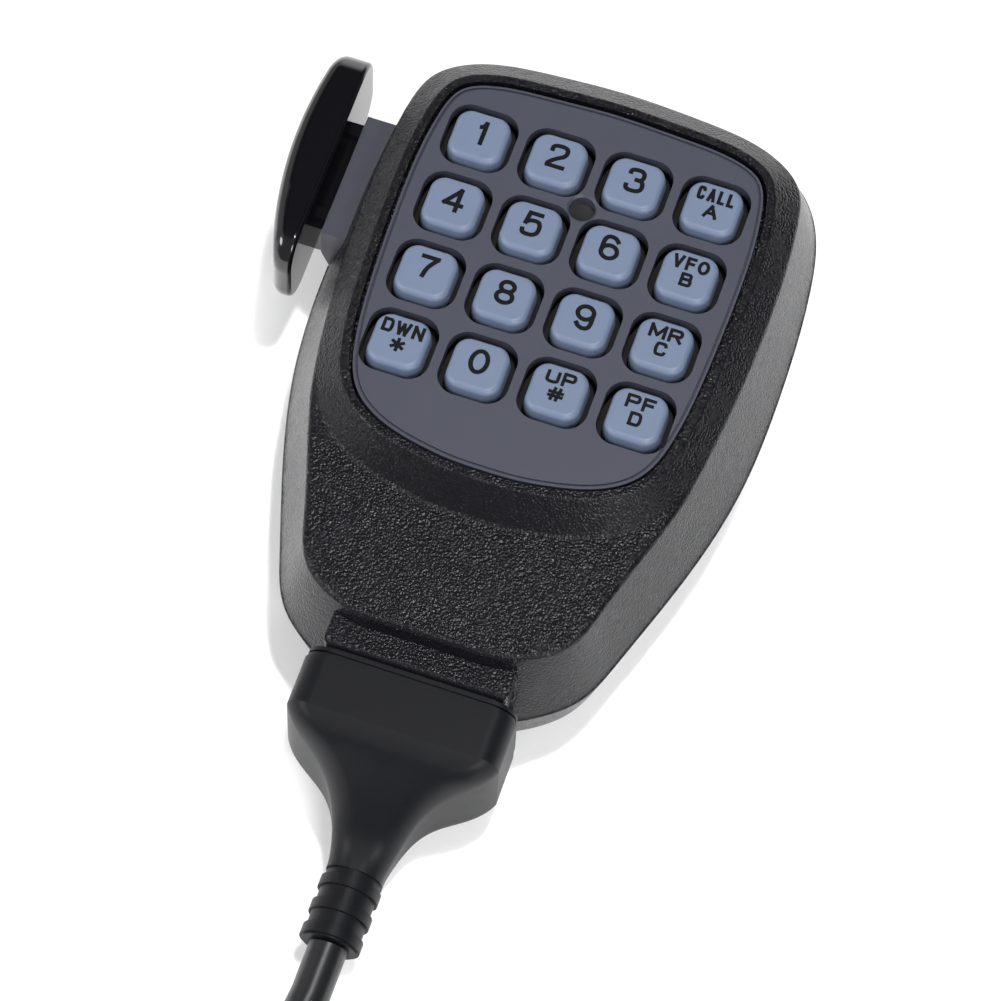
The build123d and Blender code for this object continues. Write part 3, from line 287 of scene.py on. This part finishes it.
nodeFinishes = {
    "case_black": ["front_case", "rear_case"],
    "panel_grey": ["keypad_panel"],
    "silicone_black": ["keypad_mat", "mic_grommet"],
    "board_green": ["circuit_board"],
    "contact_gold": ["key_contacts", "plug_contacts"],
    "led_white": ["backlight_leds"],
    "chip_black": ["tone_chip", "ptt_switch", "mic_mesh", "resistors"],
    "tinned_metal": ["chip_legs", "crystal", "mic_capsule"],
    "capacitor_sleeve": ["capacitors"],
    "nylon_white": ["board_connector", "lead_plug", "cable_clamp"],
    "screw_steel": ["board_screws", "case_screws", "clamp_screws", "hanger_screw", "ptt_springs"],
    "bar_gloss": ["ptt_paddle"],
    "slider_grey": ["ptt_stem"],
    "stud_nickel": ["hanger_stud"],
    "cable_black": ["lead_in"],
    "boot_rubber": ["cable_boot"],
    "wire_pvc": ["inner_leads"],
    "tie_fabric": ["cable_tie"],
    "plug_clear": ["plug_body", "plug_latch"],
}
nodeFinishes["key_cap"] = [name for name in nodes if name.startswith("key_") and name != "key_contacts"]
for slot, names in nodeFinishes.items():
    for name in names:
        finish(nodes[name], slot)
print("materials made:", len(materials))

# The cord
cordSetup = {
    "diameter": 5.3,
    "route": [  # out of the boot, down to the floor and across to the coil
        (0, -90.8, 6), (0.3, -105, 4.4), (-8, -119.5, 2.9), (-14.8, -133, 3.1), (-15.2, -147, 3.45),
    ],
    "tail": [  # off the top of the coil, over it and into the plug
        (-10.5, -148, 14.05), (-3.5, -161, 16.7), (9, -168.5, 19.35), (20, -168.5, 19.35),
    ],
    "coilMiddle": (18, -140),
    "innerLane": 21.65,
    "lanePitch": 5.35,
    "lowLayer": 3.45,
    "layerPitch": 5.3,
    "turnStep": 20,  # degrees between points, 18 to a turn
    # angle in degrees, lane counted from the inside, layer counted from the floor
    "winding": [
        (212, 3, 1), (400, 3, 1), (480, 2, 1), (760, 2, 1), (840, 1, 1), (1040, 1, 1),
        (1120, 1, 2), (1320, 1, 2), (1400, 2, 2), (1680, 2, 2), (1760, 3, 2), (1990, 3, 2),
        (2050, 3, 3), (2080, 2.5, 3), (2336, 2.5, 3),
    ],
    "length": 1137.0,
}


def coilPoints(setup):
    # circle of the lane's radius, x = cx + r cos a, y = cy + r sin a, z by the layer, wound counterclockwise
    corners = np.array(setup["winding"], float)
    angles = np.arange(corners[0, 0], corners[-1, 0] + 1, setup["turnStep"])
    lanes = np.interp(angles, corners[:, 0], corners[:, 1])
    layers = np.interp(angles, corners[:, 0], corners[:, 2])
    # the curve runs inside its points by this share of the radius
    inside = 0.75 + 0.25 * math.cos(math.radians(setup["turnStep"]))
    radii = (setup["innerLane"] + (lanes - 1) * setup["lanePitch"]) / inside
    turned = np.radians(angles)
    return np.column_stack([
        setup["coilMiddle"][0] + radii * np.cos(turned),
        setup["coilMiddle"][1] + radii * np.sin(turned),
        setup["lowLayer"] + (layers - 1) * setup["layerPitch"],
    ])


def addCord(setup):
    points = np.vstack([setup["route"], coilPoints(setup), setup["tail"]]) * mm
    data = bpy.data.curves.new("microphoneCord", "CURVE")
    data.dimensions = "3D"
    data.resolution_u = 4
    data.bevel_depth = setup["diameter"] / 2 * mm
    data.bevel_resolution = 5
    data.use_fill_caps = True
    spline = data.splines.new("NURBS")
    spline.points.add(len(points) - 1)
    spline.points.foreach_set("co", np.column_stack([points, np.ones(len(points))]).ravel())
    spline.order_u = 3
    spline.use_endpoint_u = True
    cord = bpy.data.objects.new("microphone_cord", data)
    bpy.context.scene.collection.objects.link(cord)
    return cord


cord = addCord(cordSetup)
finish(cord, "cable_black")
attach(cord, "case")
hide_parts("cable", "cable_coil", "cable_tail")
print("cord laid")

# The legends on the keys
legendSetup = {
    "top": 31.0,
    "sunk": 0.02,
    "proud": 0.03,
    "pitch": 11.0,
    "digitHeight": 3.8,
    "digitStroke": 0.62,
    "digitRise": 0.55,
    "wordHeight": 2.1,
    "wordStroke": 0.46,
    "upperRise": 1.8,
    "lowerRise": -0.65,
    "letterGap": 0.3,
    "roundings": 3,
    "ovalSteps": 32,
    "capShare": 0.45,  # of the stroke's width, added to each end of a straight run
    "overlapStep": 0.002,
}
# Strokes of each letter in a box 1 wide and 1 high: "line" runs straight, "bend" rounds its corners,
# "oval" gives a middle and two half widths.
letterStrokes = {
    "0": [("oval", (0.5, 0.5), (0.5, 0.5))],
    "1": [("line", (1, 0), (1, 1)), ("bend", (0, 0.76), (0.6, 0.78), (0.95, 0.98))],
    "2": [("bend", (0.02, 0.68), (0.02, 1), (0.98, 1.02), (1, 0.6), (0.5, 0.4), (0.02, 0.12), (0, 0)),
          ("line", (0, 0), (1, 0))],
    "3": [("bend", (0.05, 0.74), (0.06, 1), (0.92, 1.02), (0.94, 0.54), (0.42, 0.53)),
          ("bend", (0.42, 0.53), (1, 0.53), (1.03, 0), (0.04, -0.04), (0, 0.27))],
    "4": [("line", (0.74, 0), (0.74, 1), (0, 0.28), (1, 0.28))],
    "5": [("line", (0.92, 1), (0.18, 1), (0.08, 0.5)),
          ("bend", (0.08, 0.5), (0.3, 0.66), (1, 0.68), (1.02, 0), (0.05, -0.05), (0, 0.24))],
    "6": [("oval", (0.5, 0.31), (0.5, 0.31)), ("bend", (0, 0.34), (0, 1), (0.6, 1.06), (0.94, 0.8))],
    "7": [("line", (0, 1), (1, 1)), ("bend", (1, 1), (0.45, 0.5), (0.32, 0))],
    "8": [("oval", (0.5, 0.76), (0.42, 0.24)), ("oval", (0.5, 0.27), (0.5, 0.27))],
    "9": [("oval", (0.5, 0.69), (0.5, 0.31)), ("bend", (1, 0.66), (1, 0), (0.4, -0.06), (0.06, 0.2))],
    "A": [("line", (0, 0), (0.5, 1), (1, 0)), ("line", (0.18, 0.33), (0.82, 0.33))],
    "B": [("line", (0, 0), (0, 1)),
          ("bend", (0, 1), (0.5, 1), (0.95, 1), (0.95, 0.53), (0.5, 0.53), (0, 0.53)),
          ("bend", (0, 0.53), (0.5, 0.53), (1.02, 0.53), (1.02, 0), (0.5, 0), (0, 0))],
    "C": [("bend", (0.98, 0.7), (0.85, 1), (0.5, 1), (0, 1), (0, 0), (0.5, 0), (0.85, 0), (0.98, 0.3))],
    "D": [("line", (0, 0), (0, 1)), ("bend", (0, 1), (0.35, 1), (1, 1), (1, 0), (0.35, 0), (0, 0))],
    "F": [("line", (0, 0), (0, 1), (1, 1)), ("line", (0, 0.52), (0.86, 0.52))],
    "L": [("line", (0, 1), (0, 0), (1, 0))],
    "M": [("line", (0, 0), (0, 1), (0.5, 0.15), (1, 1), (1, 0))],
    "N": [("line", (0, 0), (0, 1), (1, 0), (1, 1))],
    "O": [("oval", (0.5, 0.5), (0.5, 0.5))],
    "P": [("line", (0, 0), (0, 1)), ("bend", (0, 1), (0.5, 1), (1, 1), (1, 0.46), (0.5, 0.46), (0, 0.46))],
    "R": [("line", (0, 0), (0, 1)), ("bend", (0, 1), (0.5, 1), (1, 1), (1, 0.48), (0.5, 0.48), (0, 0.48)),
          ("line", (0.55, 0.48), (1, 0))],
    "U": [("bend", (0, 1), (0, 0.4), (0, 0), (1, 0), (1, 0.4), (1, 1))],
    "V": [("line", (0, 1), (0.5, 0), (1, 1))],
    "W": [("line", (0, 1), (0.26, 0), (0.5, 0.9), (0.74, 0), (1, 1))],
    "*": [("line", (0.5, 0), (0.5, 1)), ("line", (0, 0.25), (1, 0.75)), ("line", (0, 0.75), (1, 0.25))],
    "#": [("line", (0.22, 0), (0.36, 1)), ("line", (0.64, 0), (0.78, 1)),
          ("line", (0, 0.66), (1, 0.66)), ("line", (0, 0.32), (1, 0.32))],
}
# Each key's lines, and the width of each in millimetres.
keyLegends = [
    [("key_1", [("1", 1.45)]), ("key_2", [("2", 2.8)]), ("key_3", [("3", 2.8)]),
     ("key_a", [("CALL", 5.2), ("A", 2.0)])],
    [("key_4", [("4", 3.0)]), ("key_5", [("5", 2.8)]), ("key_6", [("6", 2.8)]),
     ("key_b", [("VFO", 5.1), ("B", 1.7)])],
    [("key_7", [("7", 2.7)]), ("key_8", [("8", 2.8)]), ("key_9", [("9", 2.8)]),
     ("key_c", [("MR", 4.6), ("C", 1.8)])],
    [("key_star", [("DWN", 5.8), ("*", 1.9)]), ("key_0", [("0", 2.8)]),
     ("key_hash", [("UP", 4.1), ("#", 2.2)]), ("key_d", [("PF", 4.0), ("D", 1.8)])],
]
wideLetters = {"M": 1.25, "W": 1.45, "L": 0.8, "F": 0.85, "O": 1.1}


def strokeLines(kind, points, corner, size, stroke, setup):
    # centrelines of a stroke, each with whether it is closed: an ellipse, straight runs with square ends, or
    # one line with each corner cut to quarters again and again
    if kind == "oval":
        turned = np.linspace(0, 2 * math.pi, setup["ovalSteps"], endpoint=False)
        oval = np.array(points[0]) + np.column_stack([np.cos(turned), np.sin(turned)]) * points[1]
        return [(corner + oval * size, True)]
    line = corner + np.array(points, float) * size
    if kind == "line":
        runs = np.diff(line, axis=0)
        caps = runs / np.linalg.norm(runs, axis=1)[:, None] * stroke * setup["capShare"]
        return [(np.array([a - cap, b + cap]), False) for a, b, cap in zip(line, line[1:], caps)]
    for _ in range(setup["roundings"]):
        cut = np.stack([0.75 * line[:-1] + 0.25 * line[1:], 0.25 * line[:-1] + 0.75 * line[1:]], axis=1)
        line = np.vstack([line[:1], cut.reshape(-1, 2), line[-1:]])
    return [(line, False)]


def ribbon(line, width, closed):
    # left and right edges of a centreline:
    # each point moved half a width along the mean of its neighbours' normals
    runs = np.diff(np.vstack([line, line[:1]]) if closed else line, axis=0)
    runs = runs / np.linalg.norm(runs, axis=1)[:, None]
    before = np.vstack([runs[-1:], runs[:-1]]) if closed else np.vstack([runs[:1], runs])
    after = runs if closed else np.vstack([runs, runs[-1:]])
    middle = before + after
    middle = middle / np.maximum(np.linalg.norm(middle, axis=1), 0.6)[:, None]
    normal = np.column_stack([-middle[:, 1], middle[:, 0]])
    reach = width / 2 / np.maximum(np.sum(middle * after, axis=1), 0.5)
    return line + normal * reach[:, None], line - normal * reach[:, None]


def letterPlaces(word, width, height, setup, stroke):
    # for each letter: its left edge, and its width between stroke middles
    shares = np.array([wideLetters.get(letter, 1.0) for letter in word])
    free = width - stroke * len(word) - setup["letterGap"] * (len(word) - 1)
    widths = shares / shares.sum() * free
    starts = np.concatenate([[0], np.cumsum(widths + stroke + setup["letterGap"])[:-1]]) + stroke / 2
    return starts, widths


def addLegend(name, word, width, height, x, y, setup):
    # letters as flat ribbons with a thin wall, centred on x, y, each stroke a hair above the one before
    stroke = setup["digitStroke"] if height == setup["digitHeight"] else setup["wordStroke"]
    starts, widths = letterPlaces(word, width, height, setup, stroke)
    strokes = []
    for letter, start, letterWidth in zip(word, starts, widths):
        size = np.array([letterWidth, height - stroke])
        corner = np.array([x - width / 2 + start, y - height / 2 + stroke / 2])
        for kind, *points in letterStrokes[letter]:
            strokes += strokeLines(kind, points, corner, size, stroke, setup)
    vertices, faces = [], []
    base = 0
    for order, (line, closed) in enumerate(strokes):
        left, right = ribbon(line, stroke, closed)
        low, high = setup["top"] - setup["sunk"], setup["top"] + setup["proud"] + order * setup["overlapStep"]
        levels = np.tile([high, high, low, low], (len(line), 1))
        vertices.append(np.dstack([np.stack([left, right, right, left], axis=1), levels]).reshape(-1, 3))
        index = base + np.arange(4 * len(line)).reshape(-1, 4)
        following = np.roll(index, -1, axis=0) if closed else index[1:]
        here = index if closed else index[:-1]
        for a, b in ((0, 1), (1, 2), (2, 3), (3, 0)):
            faces += np.stack([here[:, a], here[:, b], following[:, b], following[:, a]], axis=1).tolist()
        if not closed:
            faces += [index[0][::-1].tolist(), index[-1].tolist()]
        base += 4 * len(line)
    mesh = bpy.data.meshes.new(name)
    mesh.from_pydata((np.vstack(vertices) * mm).tolist(), [], faces)
    piece = bpy.data.objects.new(name, mesh)
    bpy.context.scene.collection.objects.link(piece)
    return piece


for row, keys in enumerate(keyLegends):
    for column, (key, lines) in enumerate(keys):
        x = (column - 1.5) * legendSetup["pitch"]
        y = (1.5 - row) * legendSetup["pitch"]
        if len(lines) == 1:
            rises, height = [legendSetup["digitRise"]], legendSetup["digitHeight"]
        else:
            rises, height = [legendSetup["upperRise"], legendSetup["lowerRise"]], legendSetup["wordHeight"]
        for line, ((word, width), rise) in enumerate(zip(lines, rises)):
            legend = addLegend(f"{key}_legend_{line}", word, width, height, x, y + rise, legendSetup)
            finish(legend, "ink_dark")
            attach(legend, key + "_cap")
print("legends drawn")

# Floor and lights
studio = {
    "floor": 6.0,
    "floorColour": "#f7f7f7",
    "sky": 1.7,
    # dark cards in the white sky: direction, cosine at its soft edge and at its middle, share of light left
    "cards": [
        ((-0.112, 0.416, 0.902), 0.76, 0.93, 0.04),
        ((0.725, 0.416, 0.548), 0.50, 0.82, 0.08),
        ((-0.837, 0.416, 0.354), 0.60, 0.88, 0.35),
        ((-0.100, -0.770, 0.630), 0.45, 0.80, 0.18),
    ],
    "lights": [  # name, place, size, watts
        ("frontRightBank", (0.6, -0.75, 1.0), 0.5, 7.0),
        ("frontLeftBank", (-0.8, -0.5, 0.9), 0.5, 6.0),
        ("glintBank", (0.12, 0.1, 1.2), 0.12, 5.0),
    ],
    "floorLight": {"place": (0.0, 0.0, 2.5), "size": 4.0, "watts": 30.0},
}


def addFloor(setup):
    # flat square at z = 0
    half = setup["floor"] / 2
    mesh = bpy.data.meshes.new("studioFloor")
    corners = [(-half, -half, 0), (half, -half, 0), (half, half, 0), (-half, half, 0)]
    mesh.from_pydata(corners, [], [(0, 1, 2, 3)])
    floor = bpy.data.objects.new("studioFloor", mesh)
    bpy.context.scene.collection.objects.link(floor)
    paper = bpy.data.materials.new("mattPaperFloor")
    paper.use_nodes = True
    shader = paper.node_tree.nodes["Principled BSDF"]
    shader.inputs["Base Color"].default_value = linearColour(setup["floorColour"])
    shader.inputs["Roughness"].default_value = 0.9
    shader.inputs["Specular IOR Level"].default_value = 0.1
    mesh.materials.append(paper)
    return floor


def addLights(setup):
    # white sky with soft-edged dark cards, and three small banks in front
    world = bpy.data.worlds.new("studioWorld")
    world.use_nodes = True
    background = world.node_tree.nodes["Background"]
    coordinates = addNode(world, "ShaderNodeTexCoord")
    strength = addNode(world, "ShaderNodeValue")
    strength.outputs[0].default_value = setup["sky"]
    for direction, edge, middle, share in setup["cards"]:
        along = addNode(world, "ShaderNodeVectorMath", {"operation": "DOT_PRODUCT"}, {1: direction},
                        {0: coordinates.outputs["Generated"]})
        fall = addNode(world, "ShaderNodeMapRange", {"interpolation_type": "SMOOTHSTEP"},
                       {"From Min": edge, "From Max": middle, "To Min": 1.0, "To Max": share},
                       {"Value": along.outputs["Value"]})
        strength = addNode(world, "ShaderNodeMath", {"operation": "MULTIPLY"},
                           links={0: strength.outputs[0], 1: fall.outputs["Result"]})
    world.node_tree.links.new(strength.outputs[0], background.inputs["Strength"])
    background.inputs["Color"].default_value = (1, 1, 1, 1)
    bpy.context.scene.world = world
    bpy.context.scene.view_settings.view_transform = "Standard"
    for name, place, size, watts in setup["lights"]:
        addBank(name, place, size, watts)


def addBank(name, place, size, watts):
    # round soft light that faces the origin
    data = bpy.data.lights.new(name, "AREA")
    data.shape = "DISK"
    data.size = size
    data.energy = watts
    light = bpy.data.objects.new(name, data)
    aimed = Vector(place).to_track_quat("Z", "Y").to_matrix().to_4x4()
    light.matrix_world = Matrix.Translation(place) @ aimed
    bpy.context.scene.collection.objects.link(light)
    return light


def addFloorLight(setup, floor):
    # lights the floor alone and is blocked by nothing, so that the paper stays white beside the object
    light = addBank("floorBank", setup["place"], setup["size"], setup["watts"])
    alone = bpy.data.collections.new("floorAlone")
    alone.objects.link(floor)
    light.light_linking.receiver_collection = alone
    light.light_linking.blocker_collection = alone


floor = addFloor(studio)
addLights(studio)
addFloorLight(studio["floorLight"], floor)
print("studio lit")
